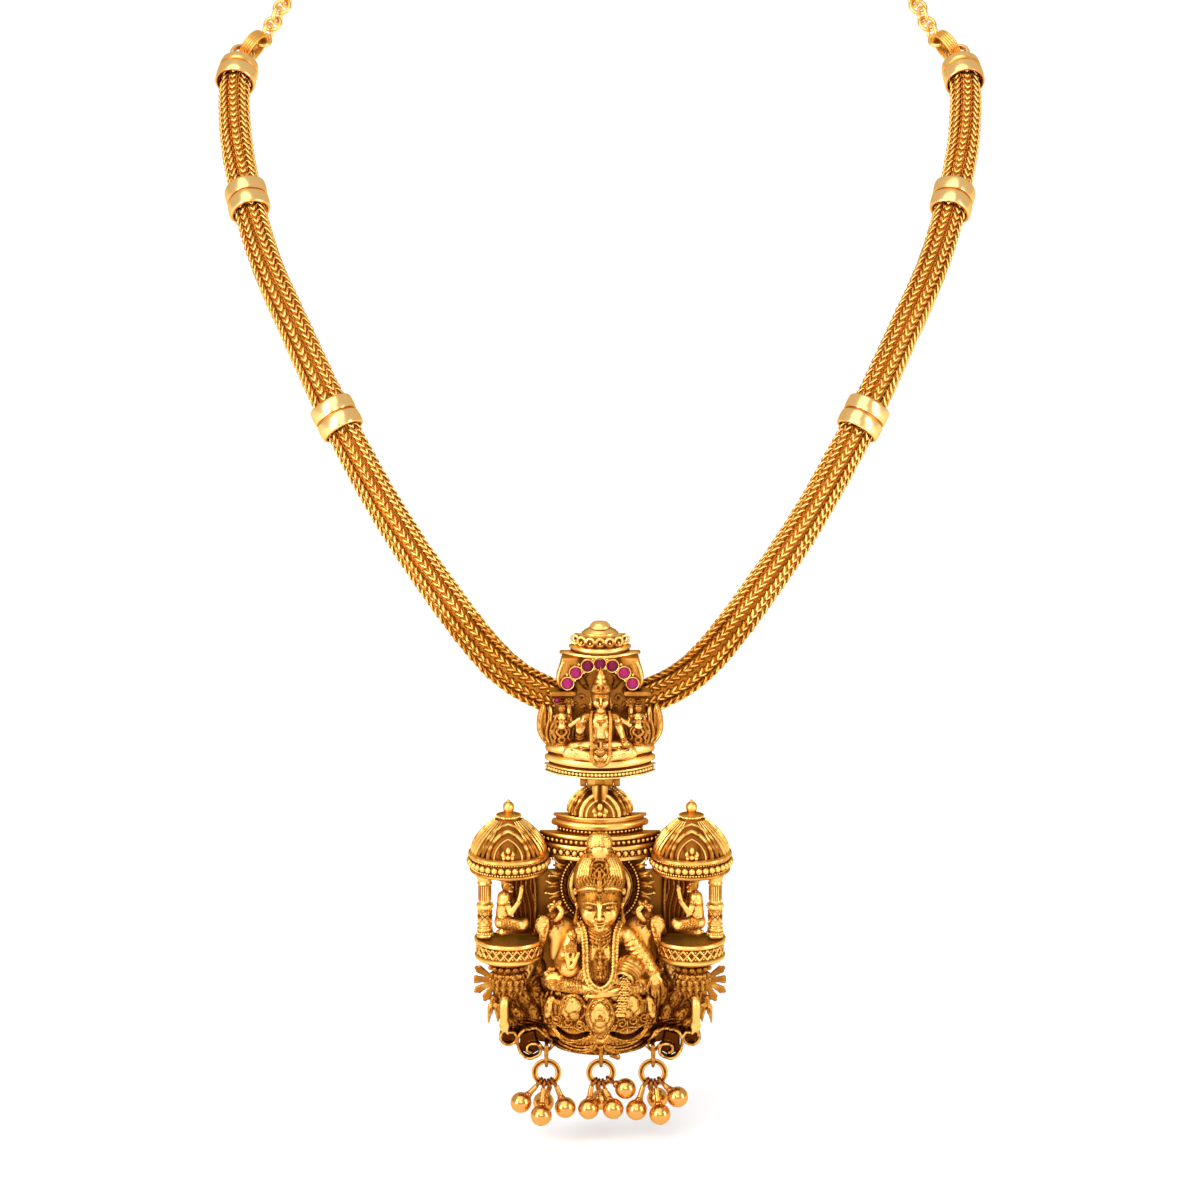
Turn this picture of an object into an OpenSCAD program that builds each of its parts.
// A temple jewellery necklace: a bundle of woven gold strands with collars and end caps,
// a shrine pendant with a row of rubies, a large relief pendant that hangs from it on a pin,
// three groups of small balls, and a plain link chain that closes the loop behind the neck.
// Millimetres. The origin is the middle of the loop at the nape. +Z is up, and the front
// faces -Y. Both pendants are drawn in a frame of their own, whose origin is the pin.

/* [Loop] */
// Distance from the nape forward to the pin of the pendants
pin_forward = 124; // [120:1:128]
// Drop from the nape down to the pin of the pendants
pin_drop = 144; // [140:0.5:148]
// Half width of the whole loop
loop_hw = 72.2; // [68:0.2:76]
// Half width of the woven bundle at the front
bundle_hw_front = 3.65; // [3.4:0.05:3.8]
// Half width of the woven bundle at its end cap
bundle_hw_rear = 3.25; // [3.0:0.05:3.4]
// Half thickness of the woven bundle
bundle_ht = 3.2; // [2.9:0.05:3.3]
// Number of strands that show as lobes around the bundle
strands = 5; // [4:1:7]
// Length of one collar along the bundle
collar_len = 6.2; // [5:0.1:7]
// Wall of the collars and end caps
collar_wall = 0.35; // [0.3:0.05:0.5]
// Gap between pieces that only touch on the real thing
gap = 0.1; // [0.05:0.01:0.2]

/* [Back chain] */
// Radius to the wire's middle of one chain link
link_r = 1.6; // [1.4:0.05:1.8]
// Radius of the chain link's wire
link_wire = 0.4; // [0.3:0.05:0.45]
// Distance between the middles of two neighbouring links
link_pitch = 2.1; // [1.9:0.05:2.3]

/* [Upper pendant] */
// Half width of the shrine's bowed base
base_hw = 10.5; // [9.5:0.1:11]
// How far the base bows out in front of its back face
base_bow = 6.3; // [5:0.1:7]
// Radius of the ruby arch
arch_r = 6.8; // [6.4:0.1:7.2]
// Height of the arch's centre above the pin
arch_z = 16.6; // [15:0.1:18]
// Girdle diameter of each ruby
ruby_d = 2.0; // [1.6:0.1:2.2]

/* [Hinge] */
// Radius of the pin
pin_r = 0.5; // [0.4:0.05:0.6]
// Radial clearance of the pin in its knuckle
pin_clear = 0.05; // [0.03:0.01:0.08]
// Width of the knuckle
knuckle_w = 5; // [4:0.1:6]
// Outer radius of the knuckle and of the lugs
knuckle_r = 1.15; // [1:0.05:1.2]

/* [Lower pendant] */
// How far the flat back of the lower pendant lies behind the pin
back_y = 3.9; // [2:0.1:5]
// Distance of the side pavilions from the middle
pavilion_x = 17.4; // [17:0.1:18]
// Radius of the pavilions' bead moulding
pavilion_r = 8.3; // [7.8:0.1:8.6]
// Radius of the balconies
balcony_r = 6.7; // [6.2:0.1:6.9]
// Radius of the halo ring behind the figure's head
halo_r = 7.9; // [7.4:0.1:8.2]
// Number of rays round the halo
halo_rays = 26; // [20:2:32]

/* [Drops] */
// Diameter of the hanging balls
ball_d = 3.8; // [3:0.1:4]
// Outer diameter of the jump rings
jump_d = 5.6; // [5:0.1:6]
// Diameter of the jump rings' wire
jump_wire = 0.9; // [0.7:0.05:1]

/* [Hidden] */

// Steps round the curves that the exact rebuild replaces by true circles
$fn = 48;
// Steps round the meshed limbs of the small cast figures
limb_fn = 10;
// Sides of the bundle's lobed section, three for each strand
section_sides = 3 * strands;
// Fraction by which the strands' lobes stand out
lobe = 0.035;
// Longest step between two sections of a bundle, as a share of one route point
route_step = 0.33;

gold = [0.83, 0.61, 0.25];
bright_gold = [0.95, 0.78, 0.42];
dark_gold = [0.60, 0.38, 0.12];
rose_gold = [0.88, 0.58, 0.36];
ruby_red = [0.62, 0.06, 0.30];

// The half width, reach and drop that the points of both routes were chosen for
ROUTE_SIZE = [72.2, 124, 144];
// The middle of the bundle on the +X half, from the pendant to the end cap and a little past it.
// Each row is one point of the route: [x, y, z].
ROUTE = [
    [0, -118.3, -131],
    [10, -117.7, -128.8],
    [19.5, -115.8, -123.1],
    [30, -111.4, -110.7],
    [40.5, -105.2, -96.1],
    [50.5, -96.9, -79.5],
    [58.6, -87.4, -64.5],
    [65, -77.6, -52.5],
    [69.4, -67, -40.8],
    [72.2, -54.8, -29.7],
    [72.2, -42, -19.5],
    [66.5, -27.5, -11]
];
// Places on the route, counted in route points
T_COLLAR_LOWER = 5;
T_COLLAR_UPPER = 7.9;
T_CAP = 9.93;

// The back chain's way round the neck after its first link: [x, y, z]
CHAIN_ROUTE = [
    [59.4, -22.6, -2],
    [47.5, -12.6, 1.4],
    [31.5, -5, 1.6],
    [15.5, -1.2, 0.6],
    [0, 0, 0]
];

// A point of a route, which follows the loop's half width and the pin's place
function fitted(p, side = 1) = [
    side * p[0] * loop_hw / ROUTE_SIZE[0],
    p[1] * pin_forward / ROUTE_SIZE[1],
    p[2] * pin_drop / ROUTE_SIZE[2]
];
// One point of the bundle's route, mirrored onto the -X half for a negative count
function route_row(i) = i < 0 ? fitted(ROUTE[-i], -1) : fitted(ROUTE[min(i, len(ROUTE) - 1)]);
function spline(a, b, c, d, f) =
    0.5 * (2 * b + (c - a) * f + (2 * a - 5 * b + 4 * c - d) * f * f
           + (3 * b - a - 3 * c + d) * f * f * f);
function route(t) =
    let (i = floor(t), f = t - i)
    spline(route_row(i - 1), route_row(i), route_row(i + 1), route_row(i + 2), f);
function unit(v) = v / norm(v);
function tangent(t) = unit(route(t + 0.02) - route(t - 0.02));
// Outward direction: away from the wearer, who stands about 45 behind the front and leans back a little
function outward(t) = let (p = route(t)) unit([p[0], p[1] + 45, 0.35 * 75]);
function across(t) = unit(cross(outward(t), tangent(t)));
function normal(t) = cross(tangent(t), across(t));
function half_width(t) =
    bundle_hw_front + (bundle_hw_rear - bundle_hw_front) * min(1, max(abs(t) - 1.5, 0) / (T_CAP - 1.5));

// Places its children with Z along the route and X across the bundle
module on_route(t) {
    p = route(t);
    x = across(t);
    y = normal(t);
    z = cross(x, y);
    multmatrix([
        [x[0], y[0], z[0], p[0]],
        [x[1], y[1], z[1], p[1]],
        [x[2], y[2], z[2], p[2]],
        [0, 0, 0, 1]
    ]) children();
}

// A place above the cap, in the frame that leans inward with the eye and the first link
function cap_axis(lean) = cos(lean) * tangent(T_CAP) - sin(lean) * normal(T_CAP);
function cap_point(up) = route(T_CAP) + EYE_UP * tangent(T_CAP) + up * cap_axis(EYE_LEAN);

module eye_frame() { on_route(T_CAP) translate([0, 0, EYE_UP]) rotate([EYE_LEAN, 0, 0]) children(); }

module other_side() { mirror([1, 0, 0]) children(); }

// Woven bundle

function section_point(t, j) =
    let (a = 360 * j / section_sides, r = 1 + lobe * cos(strands * a))
    route(t) + across(t) * half_width(t) * r * cos(a) + normal(t) * bundle_ht * r * sin(a);

// A closed sweep of the lobed section from one place on the route to another
module bundle(t_from, t_to) {
    steps = ceil((t_to - t_from) / route_step);
    sides = section_sides;
    points = [
        for (i = [0:steps], j = [0:sides - 1]) section_point(t_from + (t_to - t_from) * i / steps, j)
    ];
    faces = concat(
        [[for (j = [0:sides - 1]) j]],
        [for (i = [0:steps - 1], j = [0:sides - 1]) [
            i * sides + j, (i + 1) * sides + j,
            (i + 1) * sides + (j + 1) % sides, i * sides + (j + 1) % sides
        ]],
        [[for (j = [sides - 1:-1:0]) steps * sides + j]]
    );
    color(gold) polyhedron(points, faces);
}

// Half of the space that a bundle leaves free inside a collar, as a share of one route point
T_HALF_GAP = 0.01;
module bundle_front() { bundle(-T_COLLAR_LOWER + T_HALF_GAP, T_COLLAR_LOWER - T_HALF_GAP); }
module bundle_middle() { bundle(T_COLLAR_LOWER + T_HALF_GAP, T_COLLAR_UPPER - T_HALF_GAP); }
module bundle_rear() { bundle(T_COLLAR_UPPER + T_HALF_GAP, T_CAP); }

// Collars and end caps

// A circle with its front and back trimmed flat, like the bundle's section
module oval(hw, ht) {
    intersection() {
        circle(hw);
        square([2 * hw, 2 * ht], center = true);
    }
}

// Two bright bands with a groove between them, pushed over the bundle
module collar(t) {
    groove = 0.5;
    band = (collar_len - groove) / 2;
    clear_hw = half_width(t) * (1 + lobe) + gap;
    clear_ht = bundle_ht * (1 + lobe) + gap;
    on_route(t) difference() {
        union() {
            translate([0, 0, -collar_len / 2])
                linear_extrude(collar_len) oval(clear_hw + collar_wall, clear_ht + collar_wall);
            for (side = [-1, 1])
                translate([0, 0, side * (groove + band) / 2 - band / 2])
                    linear_extrude(band) oval(clear_hw + collar_wall + 0.15, clear_ht + collar_wall + 0.15);
        }
        translate([0, 0, -collar_len])
            linear_extrude(2 * collar_len) oval(clear_hw, clear_ht);
    }
}

CAP_LEN = 6.6;
// The bundle goes this far into the cap
CAP_DEPTH = 3.4;
EYE_R = 2.1;
EYE_WIRE = 0.55;
// Height of the eye's middle over the end of the bundle, and how far it leans inward
EYE_UP = CAP_LEN - CAP_DEPTH + EYE_R - 0.1;
EYE_LEAN = 28;

// Two-tier cap, open at its lower rim, with a round eye soldered on top
module end_cap() {
    bore = bundle_hw_rear * (1 + lobe) + 2 * gap;
    rim = bore + collar_wall;
    color(bright_gold) on_route(T_CAP) union() {
        translate([0, 0, -CAP_DEPTH]) rotate_extrude() polygon([
            [bore, 0], [rim + 0.1, 0], [rim + 0.1, 3.1], [rim - 0.15, 3.2], [rim - 0.15, 3.6],
            [rim, 3.7], [rim - 0.1, 5.3], [rim - 0.9, 6.2], [rim - 2.4, CAP_LEN],
            [0, CAP_LEN], [0, CAP_LEN - 0.8], [bore - 0.6, 5], [bore, 4.2]
        ]);
        translate([0, 0, EYE_UP]) rotate([0, 90, 0])
            rotate_extrude() translate([EYE_R, 0]) circle(EYE_WIRE);
    }
}

RING_R = 2.7;
RING_WIRE = 0.34;
RING_TURN = 0.5;
// Distance from the eye's middle to the ring's middle
RING_UP = 0.7 + RING_R;

// A heavy ring with the look of three turns of wire, hung in the eye
module grooved_ring() {
    color(gold) eye_frame() translate([0, 0, RING_UP]) rotate([90, 0, 0]) rotate_extrude() {
        for (k = [-1:1]) translate([RING_R, k * RING_TURN]) circle(RING_WIRE);
        translate([RING_R - RING_WIRE * 0.6, -RING_TURN]) square([RING_WIRE * 1.2, 2 * RING_TURN]);
    }
}

// The first link hugs the ring's far side
LINK_UP = RING_UP + RING_R + 0.38;
function chain_row(i) =
    i == 0 ? cap_point(LINK_UP - 12)
    : i == 1 ? cap_point(LINK_UP)
    : i < len(CHAIN_ROUTE) + 2 ? fitted(CHAIN_ROUTE[i - 2])
    : fitted(CHAIN_ROUTE[2 * len(CHAIN_ROUTE) - i], -1);
function chain(t) =
    let (i = floor(t), f = t - i)
    spline(chain_row(i - 1), chain_row(i), chain_row(i + 1), chain_row(i + 2), f);
function chain_direction(t) = unit(chain(t + 0.02) - chain(t - 0.02));

// Place on the chain's curve by the length along it, from the first link to the hook
CHAIN_END = len(CHAIN_ROUTE) + 0.716;
CHAIN_STEPS = 100;
function chain_t(step) = 1 + (CHAIN_END - 1) * step / CHAIN_STEPS;
CHAIN_TABLE = [
    for (step = 0, length = 0; step <= CHAIN_STEPS;
         length = length + norm(chain(chain_t(step + 1)) - chain(chain_t(step))), step = step + 1)
        [length, chain_t(step)]
];
chain_length = CHAIN_TABLE[CHAIN_STEPS][0];
// An even number, so that the last link stands upright in the clasp
links_per_side = 2 * round(chain_length / link_pitch / 2);

// Places its children with Z along the chain and Y upward
module on_chain(t) {
    z = chain_direction(t);
    x = unit(cross([0, -0.3, 1], z));
    y = cross(z, x);
    p = chain(t);
    multmatrix([
        [x[0], y[0], z[0], p[0]],
        [x[1], y[1], z[1], p[1]],
        [x[2], y[2], z[2], p[2]],
        [0, 0, 0, 1]
    ]) children();
}
module link() {
    rotate([90, 0, 0]) rotate_extrude() translate([link_r, 0]) circle(link_wire);
}

// Back chain of round links, each turned a quarter from the last
module back_chain() {
    color(gold) {
        eye_frame() translate([0, 0, LINK_UP]) rotate([0, 0, 90]) link();
        for (k = [1:links_per_side - 1])
            on_chain(lookup(k * chain_length / (links_per_side - 1), CHAIN_TABLE))
                rotate([0, 0, 90 * (k % 2)]) link();
    }
}

// Plain double eye that closes the chain at the nape
module clasp_hook() {
    wire = 0.5;
    eye = 1.9;
    color(gold) for (side = [-1, 1])
        translate([side * (eye + 0.15), 0, 0]) rotate_extrude() translate([eye, 0]) circle(wire);
}

// Shared shapes of both pendants

// Moves its children to the pendants' own frame
module at_pin() { translate([0, -pin_forward, -pin_drop]) children(); }

// A slab with a flat back at y_back and a bowed front, hw wide each side and bow deep
module bowed(hw, bow, y_back, z_low, z_high, inset = 0) {
    r = (hw * hw + bow * bow) / (2 * bow);
    intersection() {
        translate([0, y_back - bow + r, z_low]) cylinder(r = r - inset, h = z_high - z_low);
        translate([-hw + inset, y_back - bow - 1, z_low - 1])
            cube([2 * (hw - inset), bow + 1, z_high - z_low + 2]);
    }
}

module limb(a, b, ra, rb) {
    hull() {
        translate(a) sphere(ra, $fn = limb_fn);
        translate(b) sphere(rb, $fn = limb_fn);
    }
}

module blob(c, r) { translate(c) scale(r) sphere(1, $fn = limb_fn + 2); }

// Upper pendant

UPPER_BACK = 1.9;
BASE_Z = 1.4;
// Courses of the base from the bottom up: [height above the base, thickness, inset]
BASE_COURSES = [
    [0, 1.5, 0],
    [1.5, 0.5, 0.9],
    [2, 1.4, 0.1],
    [3.4, 0.4, 0.8]
];
module shrine_base() {
    color(gold) at_pin() union() {
        for (row = BASE_COURSES)
            bowed(base_hw, base_bow, UPPER_BACK, BASE_Z + row[0], BASE_Z + row[0] + row[1] + 0.01, row[2]);
        for (side = [-1, 1]) {
            translate([side * (base_hw - 3.1), -0.9, BASE_Z + 4.9]) rotate([90, 0, 0])
                cylinder(r = 1.1, h = 3, center = true);
            translate([side * (knuckle_w / 2 + gap + 0.6), 0, 0]) rotate([0, 90, 0])
                cylinder(r = knuckle_r, h = 1.2, center = true);
            translate([side * (knuckle_w / 2 + gap + 0.6) - 0.6, -0.8, 0])
                cube([1.2, 1.6, BASE_Z + 0.3]);
        }
        rotate([0, 90, 0]) cylinder(r = pin_r, h = knuckle_w + 2.6, center = true);
    }
}

RUBY_ANGLES = [-64, -42, -20, 0, 20, 42, 64];
RUBY_FRONT = -2.3;
function ruby_place(a) = [arch_r * sin(a), RUBY_FRONT, arch_z + arch_r * cos(a)];
// Courses of the canopy from the bottom up: [half width, bow, height above the canopy's foot, thickness]
CANOPY_COURSES = [
    [arch_r + 0.9, 4.2, 1.6, 1.3],
    [arch_r - 1, 4.6, 2.8, 1],
    [arch_r - 1.5, 3.9, 3.7, 2.2],
    [arch_r - 3.3, 3, 5.8, 1.2],
    [arch_r - 5, 2.2, 6.9, 1.3]
];

// Back wall, ruby arch, tiered canopy, side capitals and the sleeve that holds the bundle
module shrine_canopy() {
    wall = 1.1;
    canopy_z = arch_z + 6;
    color(gold) at_pin() difference() {
        union() {
            translate([0, UPPER_BACK, 0]) rotate([90, 0, 0]) linear_extrude(wall) union() {
                translate([-arch_r - 1.8, BASE_Z + 4]) square([2 * arch_r + 3.6, arch_z - BASE_Z - 4]);
                translate([0, arch_z]) circle(arch_r + 1.3);
            }
            translate([0, UPPER_BACK - 0.5, arch_z]) rotate([90, 0, 0]) intersection() {
                rotate_extrude() translate([arch_r - 1.45, 0]) square([2.9, 3.4]);
                translate([-9, -9 * cos(76) + 4.2, -1]) cube([18, 12, 6]);
            }
            for (row = CANOPY_COURSES)
                bowed(row[0], row[1], UPPER_BACK, canopy_z + row[2], canopy_z + row[2] + row[3]);
            for (side = [-1, 1])
                translate([side * (arch_r + 0.2) - 2.6, -2.6, arch_z + 0.6]) cube([5.2, 4, 0.9]);
            translate([PINK_PLACE[0], PINK_PLACE[1], PINK_PLACE[2]]) rotate([-90, 0, 0])
                cylinder(d = PINK_D + 0.5, h = 2.4);
            sleeve();
        }
        for (a = RUBY_ANGLES) translate(ruby_place(a) + [0, -1, 0]) rotate([-90, 0, 0])
            cylinder(d = ruby_d + 2 * gap, h = 2.1);
        translate(PINK_PLACE + [0, -1, 0]) rotate([-90, 0, 0]) cylinder(d = PINK_D + 2 * gap, h = 1.6);
    }
}
PINK_PLACE = [-arch_r - 1.3, -1.2, arch_z - 0.5];
PINK_D = 1.1;

// A strap behind the wall, through which the bundle runs. The bundle's bow needs more room above it
module sleeve() {
    strap = 0.8;
    hw = 5.5;
    front = UPPER_BACK - 0.05;
    depth = route(0)[1] + pin_forward + bundle_ht + strap + 0.35 - front;
    low = route(0)[2] + pin_drop - bundle_hw_front - strap - 0.55;
    height = 2 * (bundle_hw_front + strap) + 2.3;
    difference() {
        translate([-hw, front, low]) cube([2 * hw, depth, height]);
        translate([-hw - 1, front - 1, low + strap]) cube([2 * hw + 2, depth + 1 - strap, height - 2 * strap]);
    }
}

// A cut stone with a table, ten crown facets and a pointed pavilion; the table faces -Y
module cut_stone(d) {
    rotate([90, 0, 0]) union() {
        cylinder(r1 = d / 2, r2 = d * 0.3, h = d * 0.2, $fn = 10);
        translate([0, 0, -d * 0.35]) cylinder(r1 = d * 0.06, r2 = d / 2, h = d * 0.35, $fn = 10);
    }
}
module ruby(k) {
    color(ruby_red) at_pin() translate(ruby_place(RUBY_ANGLES[k - 1])) cut_stone(ruby_d);
}
module pink_stone() {
    color(ruby_red) at_pin() translate(PINK_PLACE) cut_stone(PINK_D);
}

// Seated figure under the arch: crossed legs, one hand raised, one on the knee
module upper_deity() {
    color(gold) at_pin() union() {
        blob([0, -2.7, 16.6], [1.75, 1.6, 2.3]);
        limb([0, -2.6, 18.4], [0, -2.5, 20.6], 1.55, 0.5);
        limb([0, -2.5, 20.6], [0, -2.5, 22], 0.5, 0.25);
        limb([0, -2.3, 14.6], [0, -2.2, 13.4], 0.9, 1);
        limb([-2.4, -2, 13], [2.4, -2, 13], 1, 1);
        limb([0, -2.1, 12.6], [0, -2.2, 8.6], 2, 1.6);
        limb([-3, -2.1, 12.9], [-3.8, -2.6, 9.9], 0.75, 0.65);
        limb([-3.8, -2.6, 9.9], [-3.5, -4, 11.6], 0.65, 0.55);
        limb([-3.5, -4.1, 11.4], [-3.5, -4.2, 13], 0.75, 0.4);
        limb([3, -2.1, 12.9], [4, -2.8, 9.6], 0.75, 0.65);
        limb([4, -2.8, 9.6], [4.4, -4.2, 8.2], 0.65, 0.6);
        limb([-1.6, -2.6, 7.3], [-5.9, -3.3, 7], 1.2, 1.15);
        limb([1.6, -2.6, 7.3], [5.9, -3.3, 7], 1.2, 1.15);
        limb([-5.6, -3.6, 6.9], [-0.4, -4.6, 6.6], 1.05, 0.8);
        limb([5.6, -3.6, 6.9], [0.4, -4.6, 6.6], 1.05, 0.8);
    }
}

// Small standing attendant beside the arch
module shrine_figure() {
    color(gold) at_pin() translate([arch_r + 0.4, -1.4, 0]) union() {
        blob([0, 0, 14.5], [0.75, 0.75, 0.9]);
        limb([0, 0, 13.2], [0, 0, 11], 1, 0.8);
        limb([0, 0, 11], [0, -0.2, 8.8], 0.9, 1.1);
        limb([-0.9, 0, 13], [-1.4, -1, 11.6], 0.4, 0.35);
        limb([-1.4, -1, 11.6], [0, -1.5, 12], 0.35, 0.3);
        limb([0.9, 0, 13], [1.5, -0.6, 11], 0.4, 0.35);
        limb([1.5, -0.6, 11], [0.9, -1.4, 12.8], 0.35, 0.4);
    }
}

// Curved lotus leaf at the shrine's outer edge, as two overlapping blades
module lotus_leaf() {
    color(gold) at_pin() translate([base_hw, 1.4, 0]) rotate([90, 0, 0]) linear_extrude(2.4) union() {
        intersection() {
            translate([-5.1, 11.2]) circle(5.9);
            translate([5.4, 11]) circle(6.9);
        }
        intersection() {
            translate([-3.1, 9.7]) circle(3.6);
            translate([2.6, 9.7]) circle(3.6);
        }
    }
}

// Lower pendant

// Thickness of the back plate
PLATE_T = 1;
// The figures' places were drawn for a back this far behind the pin and for pavilions this far out
DRAWN_BACK = 3.9;
DRAWN_X = 17.4;
module figure_place() { translate([0, back_y - DRAWN_BACK, 0]) children(); }
module side_figure_place() { translate([pavilion_x - DRAWN_X, back_y - DRAWN_BACK, 0]) children(); }

// Half outline of the back plate, from the top middle to the lowest middle: [x, z]
PLATE = [
    [0, -16.3], [8.6, -16.3], [8.6, -18.6], [12.4, -18.6], [12.4, -31],
    [pavilion_x + 3.2, -37.2], [pavilion_x + 3.2, -46], [pavilion_x + 1.2, -50.4],
    [pavilion_x - 2.4, -52.6], [11, -53.4], [8, -54.4], [0, -54.8]
];
HOOK_X = [-10.3, 0.2, 10.2];
HOOK_Z = -55.6;
module back_plate() {
    half = PLATE;
    outline = concat(half, [for (i = [len(half) - 2:-1:1]) [-half[i][0], half[i][1]]]);
    color(dark_gold) at_pin() union() {
        translate([0, back_y, 0]) rotate([90, 0, 0]) linear_extrude(PLATE_T) polygon(outline);
        for (side = [-1, 1]) {
            volute(side * (pavilion_x - 4.5), -53.9, 2.3);
            volute(side * (pavilion_x - 0.2), -52.3, 1.6);
        }
        bowed(9.6, 5.4, back_y, -53.9, -51.9, 0.4);
        bowed(8.8, 5, back_y, -54.9, -53.8, 0.4);
        for (x = HOOK_X) {
            translate([x, HOOK_Y, HOOK_Z]) rotate([0, 90, 0])
                rotate_extrude() translate([HOOK_R, 0]) circle(HOOK_WIRE);
            translate([x - 0.35, HOOK_Y, HOOK_Z + HOOK_R]) cube([0.7, back_y - HOOK_Y - 0.4, 2]);
        }
    }
}
HOOK_Y = back_y - 5.2;
HOOK_R = 1.05;
HOOK_WIRE = 0.35;

// A rolled scroll end: an open ring of strip with a solid eye
module volute(x, z, r) {
    translate([x, back_y, z]) rotate([90, 0, 0]) difference() {
        cylinder(r = r, h = 4.4);
        translate([0, 0, 1]) cylinder(r = r - 0.6, h = 6);
    }
}

// Half dome with a pointed window, the web below the pin and the knuckle
module crown_dome() {
    color(gold) at_pin() difference() {
        union() {
            intersection() {
                translate([0, back_y, 0]) scale([1, 0.8, 1]) rotate_extrude() polygon([
                    [0, -7.2], [6.1, -7.2], [6, -5.9], [5.3, -4.5], [4.1, -3.2], [2.4, -2.1], [0, -1.6]
                ]);
                translate([-8, -8, -8]) cube([16, 8 + back_y, 8]);
            }
            translate([0, 0, -7.2]) bowed(6.5, 5, back_y, 0, 0.6);
            translate([-knuckle_w / 2, -0.9, -4.5]) cube([knuckle_w, 1.8, 4.5]);
            rotate([0, 90, 0]) cylinder(r = knuckle_r, h = knuckle_w, center = true);
        }
        rotate([0, 90, 0]) cylinder(r = pin_r + pin_clear, h = knuckle_w + 2, center = true);
        translate([0, back_y - 3.7, -6.6]) rotate([90, 0, 0]) linear_extrude(4) window(2.5, 3.4);
    }
}

// A pointed window from two arcs, hw wide each side and h high
module window(hw, h) {
    r = (hw * hw + h * h) / (2 * hw);
    intersection() {
        translate([hw - r, 0]) circle(r);
        translate([r - hw, 0]) circle(r);
        translate([-hw, 0]) square([2 * hw, h + 1]);
    }
}

// Courses of the crown from the top down: [half width, bow, top z, thickness]
CROWN_COURSES = [
    [8.9, 4, -7.5, 0.7],
    [8.5, 3.7, -8.15, 0.4],
    [9.2, 4.2, -8.5, 1.5],
    [8.3, 3.5, -9.95, 1.1],
    [11.6, 4.8, -11, 0.8],
    [11.2, 4.5, -11.75, 1.3],
    [11.9, 5, -13, 0.9],
    [11.3, 4.6, -13.85, 1.4],
    [11.7, 4.8, -15.2, 0.8]
];
module crown_tiers() {
    color(gold) at_pin() union() for (row = CROWN_COURSES)
        bowed(row[0], row[1], back_y, row[2] - row[3], row[2]);
}
// The space that the crown takes, with the usual gap round it
module crown_space() {
    bowed(11.9 + gap, 5 + gap, back_y, -16.1, -7.4);
}

PAVILION_Y = back_y - 2.4;

// Dome with a pointed niche and a ball finial over a round moulding
module pavilion_roof(side) {
    x = side * pavilion_x;
    color(gold) at_pin() difference() {
        intersection() {
            translate([x, PAVILION_Y, 0]) union() {
                rotate_extrude() polygon([
                    [0, -18.4], [pavilion_r - 1.7, -18.4], [pavilion_r - 0.9, -17.9],
                    [pavilion_r - 1.1, -17.2], [pavilion_r, -16.9], [pavilion_r, -15.7],
                    [pavilion_r - 0.9, -15.4], [pavilion_r - 0.7, -14.9], [pavilion_r - 1.4, -14.5],
                    [pavilion_r - 1.5, -13.6], [pavilion_r - 1.9, -12.4], [pavilion_r - 2.9, -10.8],
                    [pavilion_r - 4.4, -9.2], [pavilion_r - 5.9, -8], [pavilion_r - 6, -7.2],
                    [1.5, -6.9], [0.6, -6.5], [0, -6.5]
                ]);
                translate([0, 0, -5.6]) sphere(1.15);
            }
            translate([-30, -10, -20]) cube([60, 10 + back_y, 20]);
        }
        crown_space();
        translate([x, PAVILION_Y - 4.5, -14.2]) rotate([90, 0, 0]) linear_extrude(4) window(2.3, 4);
    }
}

// The pillar stands on the balcony's outer edge
PILLAR_X = pavilion_x + balcony_r - 2.1;
PILLAR_Z = -31.5;
// Turned profile of the pillar: [radius, height above its foot]
PILLAR = [
    [0, 0], [1.55, 0], [1.55, 0.9], [1.2, 1.2], [1.55, 1.7], [1.55, 2.4], [1.35, 2.6], [1.35, 6],
    [1.6, 6.2], [1.6, 6.8], [1.2, 7.2], [1.2, 10.6], [1.5, 10.9], [1.6, 12.8], [0, 12.8]
];
module pillar() {
    color(gold) at_pin() translate([PILLAR_X, PAVILION_Y - 0.7, PILLAR_Z + gap])
        rotate_extrude() polygon(PILLAR);
}

// Round balcony with a band between two rims, trimmed at the flat back
module balcony() {
    top = PILLAR_Z;
    color(gold) at_pin() difference() {
        intersection() {
            translate([pavilion_x, PAVILION_Y, 0]) rotate_extrude() polygon([
                [0, top], [balcony_r, top], [balcony_r, top - 0.8], [balcony_r - 0.4, top - 1],
                [balcony_r - 0.4, top - 3], [balcony_r - 0.1, top - 3.2], [balcony_r - 0.1, top - 3.9],
                [balcony_r - 0.9, top - 4.5], [0, top - 4.5]
            ]);
            translate([0, -10, top - 6]) cube([30, 10 + back_y, 7]);
        }
        plate_space();
    }
}
// The space that the back plate takes beside a pavilion, with the usual gap
module plate_space() {
    translate([0, back_y - PLATE_T - gap, -54]) cube([pavilion_x + 3.6, 3, 38]);
}

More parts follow.
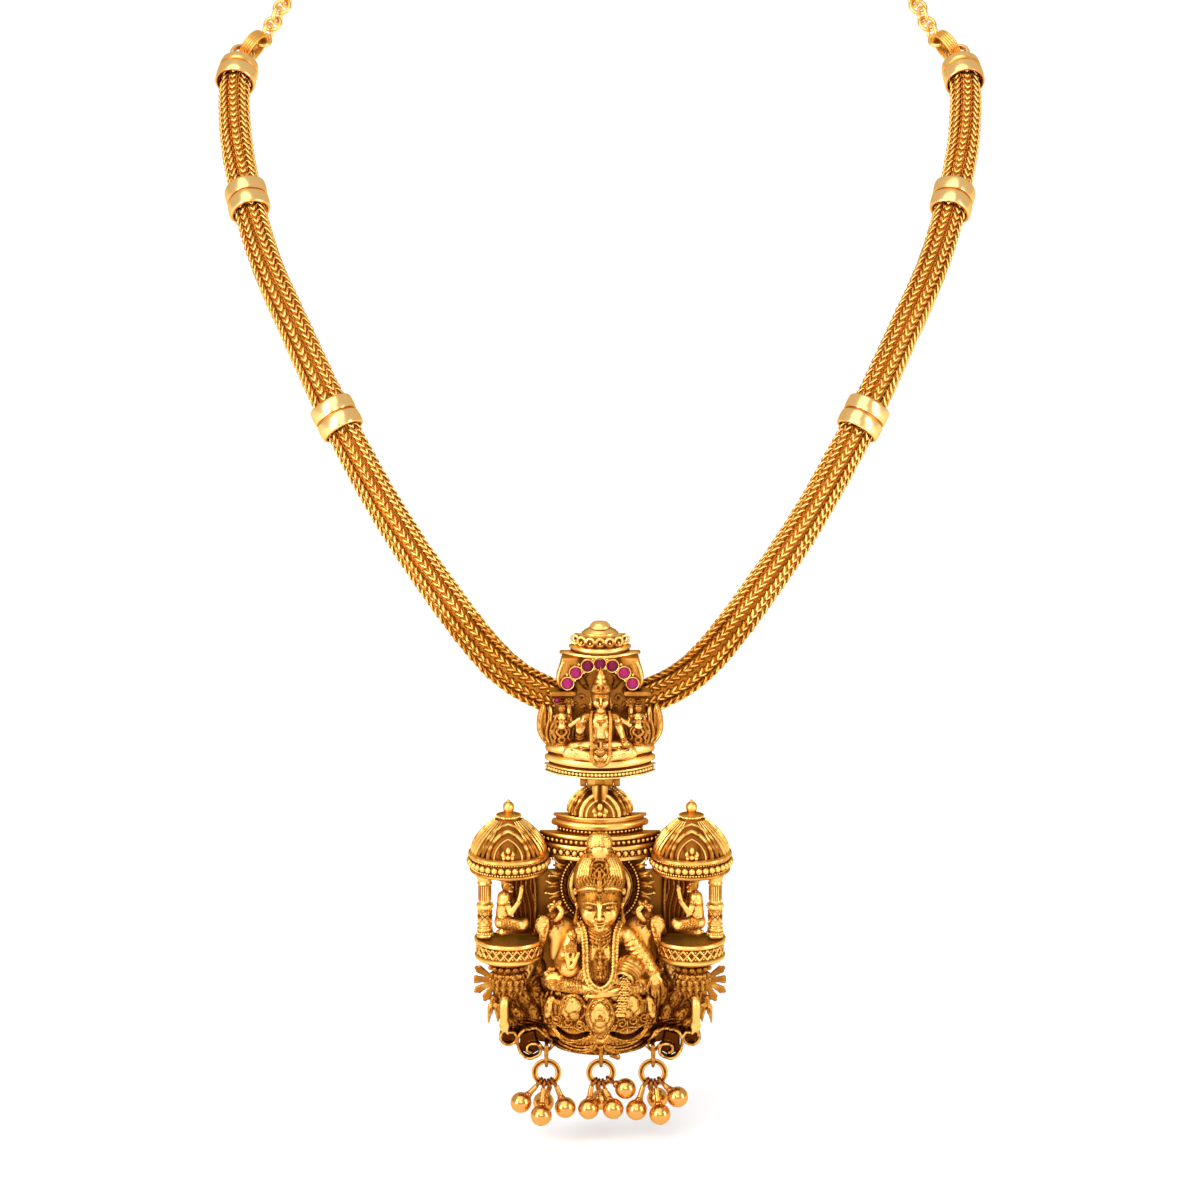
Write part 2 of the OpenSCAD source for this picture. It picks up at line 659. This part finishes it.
// Kneeling attendant who faces the middle with raised hands, and the cloth behind
module attendant() {
    color(gold) at_pin() side_figure_place() union() {
        blob([17.6, 0.2, -20.6], [1.2, 1.2, 1.4]);
        limb([17.6, 0.2, -21.4], [17.9, 0.3, -23], 0.7, 0.9);
        limb([18.1, 0.3, -23.4], [18.6, 0.3, -27.2], 1.25, 1.2);
        limb([18.4, 0.1, -28.1], [14.9, -0.8, -28.2], 1.25, 0.95);
        limb([14.9, -0.8, -28.4], [18.4, -0.6, -30], 0.75, 0.75);
        limb([17.6, -0.6, -23.4], [16.8, -1.4, -26], 0.6, 0.5);
        limb([16.8, -1.4, -26], [15.1, -1.1, -22.6], 0.5, 0.45);
        limb([15.1, -1.1, -22.6], [14.8, -0.9, -21.2], 0.6, 0.35);
        limb([13.5, 1.6, -20.4], [13.6, 1.4, -29.8], 0.7, 0.9);
        limb([13.6, 1.3, -29.9], [16.8, 0.2, -30], 0.9, 0.9);
    }
}

// Bird under a balcony: feathered body, bowed smooth neck, small head, tail fan and leaf
module peacock() {
    color(gold) at_pin() side_figure_place() translate([0, -0.6, 0]) union() {
        blob([17.6, 0, -39.9], [3.5, 3, 3]);
        limb([18.2, -0.6, -42.4], [18.4, -1.6, -46], 1, 0.8);
        limb([18.4, -1.6, -46], [18.4, -1.4, -49], 0.8, 0.75);
        limb([18.4, -1.4, -48.6], [18.2, -0.6, -49.2], 1, 0.8);
        for (k = [0:4]) {
            a = 20 - 26 * k;
            limb([20, 0.6, -40], [20 + 4 * cos(a), 0.6, -40 + 4.2 * sin(a)], 0.4, 0.55);
        }
        limb([20.6, 0.6, -43.6], [20.8, 0.6, -47.4], 0.7, 0.3);
    }
}

HEAD_Z = -21.5;
// Beaded ring with pointed rays behind the head
module halo() {
    thick = 1;
    color(gold) at_pin() translate([0, back_y - PLATE_T - gap, HEAD_Z]) rotate([90, 0, 0]) difference() {
        union() {
            cylinder(r = halo_r, h = thick + 0.5);
            linear_extrude(thick) polygon([
                for (k = [0:2 * halo_rays - 1])
                    let (a = 180 * k / halo_rays, r = halo_r + (k % 2 == 0 ? 2.7 : 0.3))
                    [r * sin(a), r * cos(a)]
            ]);
        }
        translate([0, 0, thick]) cylinder(r = halo_r - 1, h = 1);
        translate([-12, -HEAD_Z - 16.1 - gap, -1]) cube([24, 10, 4]);
    }
}

// Seated four-armed figure of the main pendant, before the halo and over the lotus
module main_deity() {
    color(gold) at_pin() difference() {
        figure_place() deity_body();
        crown_space();
    }
}
module deity_body() {
    union() {
        blob([0, -5.1, -10.6], [2.6, 1.5, 2.2]);
        limb([0, -4.9, -12.4], [0, -3.6, -14.6], 1.5, 2.4);
        blob([0, -3.4, -17.6], [5, 3.7, 4.6]);
        blob([0, -3.7, -22.4], [4.5, 3.9, 5.6]);
        for (side = [-1, 1]) {
            limb([side * 4.7, -2.4, -20.4], [side * 4.8, -2.4, -23.4], 0.8, 0.7);
            limb([side * 4.2, -3, -25], [side * 4, -3.2, -27], 0.6, 0.7);
        }
        limb([0, -2.6, -26.6], [0, -2.2, -29.6], 2, 2.2);
        limb([-3.6, -1.4, -29.8], [4, -1.4, -29.8], 1.9, 1.9);
        limb([0, -1.6, -31], [0, -1.8, -37.6], 3, 2.6);
        limb([-5, -1.8, -30.4], [-6.9, -2.6, -35.2], 1.5, 1.4);
        limb([-6.9, -2.6, -35.2], [-5.7, -5.6, -34], 1.4, 1);
        limb([-5.7, -5.8, -33.8], [-5.6, -6, -30.9], 1.1, 0.7);
        limb([5.4, -1.8, -30.2], [8, -2.8, -33.2], 1.6, 1.4);
        limb([8, -2.8, -33.2], [9.2, -3.6, -36.4], 1.4, 1.1);
        limb([9.2, -3.6, -36.4], [10.4, -5, -38.6], 1, 1.1);
        limb([10.4, -5.1, -38.6], [10.6, -5.2, -40.8], 1.2, 0.7);
        limb([-2.6, -2.6, -38.2], [-9.8, -3, -38.6], 1.8, 1.6);
        limb([2.6, -2.6, -38.4], [8, -2.9, -39.6], 1.8, 1.4);
        limb([-9, -3.6, -38.8], [1, -4.4, -40.2], 1.3, 0.9);
        limb([7, -3.6, -39.8], [-1, -4.6, -40.8], 1.2, 0.8);
    }
}

SEAT_HW = 12;
SEAT_BOW = 7.6;
// Heights of the seat's foot and top
SEAT_LOW = -51.6;
SEAT_HIGH = -43.2;
PETAL_R = 1.9;
PETAL_X = [-8.6, -5.2, 5.2, 8.6];
// Half width and half height of the leaf in front of the seat's middle
LEAF_HW = 2.8;
LEAF_HH = 4.7;
// Lotus seat: bowed block with round petals, a pointed middle leaf and two open loops below
module lotus_seat() {
    back = back_y - PLATE_T - gap;
    color(gold) at_pin() difference() {
        union() {
            bowed(SEAT_HW, SEAT_BOW, back, SEAT_LOW, SEAT_HIGH);
            bowed(SEAT_HW - 3, SEAT_BOW - 1.6, back, SEAT_HIGH - 0.1, SEAT_HIGH + 0.7);
            for (x = PETAL_X)
                translate([x, back - SEAT_BOW + 0.6 + 0.035 * x * x, SEAT_HIGH - PETAL_R + 0.1])
                    rotate([90, 0, 0]) cylinder(r = PETAL_R, h = 2.6, center = true);
            translate([0, back - SEAT_BOW + 1.8, SEAT_HIGH - 3.3])
                rotate([90, 0, 0]) linear_extrude(4) middle_leaf(LEAF_HW, LEAF_HH);
        }
        for (side = [-1, 1]) translate([side * SEAT_HW / 2, back - 3.8, SEAT_LOW + 0.6])
            rotate([90, 0, 0]) cylinder(r = 1.7, h = 9, center = true);
    }
}
module middle_leaf(hw, hh) {
    r = (hw * hw + hh * hh) / (2 * hw);
    intersection() {
        translate([hw - r, 0]) circle(r);
        translate([r - hw, 0]) circle(r);
    }
}

// Elephant beside the shoulder: head, ear and trunk raised over the back
module elephant() {
    color(gold) at_pin() figure_place() union() {
        blob([9.3, -0.4, -28.2], [1.7, 1.4, 2.2]);
        hull() {
            blob([10.6, -0.3, -28.2], [0.8, 0.6, 1.8]);
            blob([10.7, -0.2, -30], [0.5, 0.5, 0.8]);
        }
        limb([8.6, -0.6, -27], [8.2, -1.2, -25.2], 0.8, 0.6);
        limb([8.2, -1.2, -25.2], [9.4, -1.2, -24.4], 0.6, 0.45);
        limb([9.1, 0, -30.2], [8.8, 0.4, -34.4], 1.2, 1);
    }
}

// Tipped pot and the stream of coins that falls from its mouth
module coin_pot() {
    coin_count = 9;
    color(gold) at_pin() figure_place() {
        translate([5.7, -6, -35.6]) rotate([125, 0, -31]) difference() {
            rotate_extrude() polygon([
                [0, -2.6], [1.5, -2.4], [2.4, -1.4], [2.6, 0], [2.3, 1.2], [1.9, 1.7], [2.3, 2],
                [2.3, 2.5], [0, 2.5]
            ]);
            translate([0, 0, 0.6]) cylinder(r = 1.4, h = 3);
        }
        translate([4, -7.3, -43.4]) rotate([-4, 7, 0]) union() for (k = [0:coin_count - 1])
            translate([0.05 * k, 0, 0.62 * k]) rotate([90, 0, 0])
                cylinder(r = 1.05, h = 0.7 + 0.1 * (k % 3), center = true);
    }
}

// Jump rings and balls

// The jump rings rest on the lower inside of their hooks, with the usual gap
JUMP_Z = HOOK_Z - (HOOK_R - HOOK_WIRE - jump_wire / 2 - gap) - (jump_d - jump_wire) / 2;
module jump_ring(k) {
    color(gold) at_pin() translate([HOOK_X[k], HOOK_Y, JUMP_Z]) rotate([90, 0, 0])
        rotate_extrude() translate([jump_d / 2 - jump_wire / 2, 0]) circle(jump_wire / 2);
}

// The balls of the three groups. Each row is one ball: the place of its eyelet on the jump ring, as an
// angle from the lowest point, and the ball's place from the ring's middle: [angle, side, forward, up]
BALLS = [
    [[-36, -4.9, -1.3, -5.6], [-12, -1, -3.3, -7.5], [36, 3.6, -1.3, -6.6], [12, -0.6, 1.9, -6.7]],
    [[-36, -2.4, -1.5, -6.8], [12, 2.3, -1.7, -6.7], [50, 4.7, -0.4, -3.1], [-12, 0.2, 2.4, -6.3]],
    [[-36, -3.2, -1.5, -7], [12, 1.3, -2.7, -7.5], [42, 4.7, -1.2, -4.5], [-12, 0.9, 2, -5.9]]
];
EYELET_R = 0.87;
EYELET_WIRE = 0.28;
STEM_R = 0.34;
// Four balls on stems, whose eyelets are threaded on the jump ring
module ball_group(k) {
    middle = [HOOK_X[k], HOOK_Y, JUMP_Z];
    color(rose_gold) at_pin() for (row = BALLS[k]) {
        down = [sin(row[0]), 0, -cos(row[0])];
        eyelet = middle + (jump_d - jump_wire) / 2 * down;
        ball = middle + [row[1], row[2], row[3]];
        pull = ball - eyelet;
        start = eyelet + EYELET_R * unit([down[0] * (pull * down), pull[1], down[2] * (pull * down)]);
        stem = ball - start;
        union() {
            translate(ball) sphere(d = ball_d);
            translate(start) rotate([0, acos(stem[2] / norm(stem)), atan2(stem[1], stem[0])])
                cylinder(r = STEM_R, h = norm(stem));
            translate(eyelet) rotate([0, 90 - row[0], 0])
                rotate_extrude() translate([EYELET_R, 0]) circle(EYELET_WIRE);
        }
    }
}

bundle_front();
other_side() bundle_middle();  // bundle_middle_left
bundle_middle();  // bundle_middle_right
other_side() bundle_rear();  // bundle_rear_left
bundle_rear();  // bundle_rear_right
other_side() collar(T_COLLAR_LOWER);  // collar_lower_left
collar(T_COLLAR_LOWER);  // collar_lower_right
other_side() collar(T_COLLAR_UPPER);  // collar_upper_left
collar(T_COLLAR_UPPER);  // collar_upper_right
other_side() end_cap();  // end_cap_left
end_cap();  // end_cap_right
other_side() grooved_ring();  // grooved_ring_left
grooved_ring();  // grooved_ring_right
other_side() back_chain();  // back_chain_left
back_chain();  // back_chain_right
clasp_hook();
shrine_base();
shrine_canopy();
upper_deity();
other_side() shrine_figure();  // shrine_figure_left
shrine_figure();  // shrine_figure_right
other_side() lotus_leaf();  // lotus_leaf_left
lotus_leaf();  // lotus_leaf_right
ruby(1);  // ruby_1
ruby(2);  // ruby_2
ruby(3);  // ruby_3
ruby(4);  // ruby_4
ruby(5);  // ruby_5
ruby(6);  // ruby_6
ruby(7);  // ruby_7
pink_stone();
back_plate();
crown_dome();
crown_tiers();
pavilion_roof(-1);  // pavilion_roof_left
pavilion_roof(1);  // pavilion_roof_right
other_side() pillar();  // pillar_left
pillar();  // pillar_right
other_side() balcony();  // balcony_left
balcony();  // balcony_right
other_side() attendant();  // attendant_left
attendant();  // attendant_right
other_side() peacock();  // peacock_left
peacock();  // peacock_right
halo();
main_deity();
lotus_seat();
other_side() elephant();  // elephant_left
elephant();  // elephant_right
coin_pot();
jump_ring(0);  // jump_ring_left
jump_ring(1);  // jump_ring_middle
jump_ring(2);  // jump_ring_right
ball_group(0);  // ball_group_left
ball_group(1);  // ball_group_middle
ball_group(2);  // ball_group_right
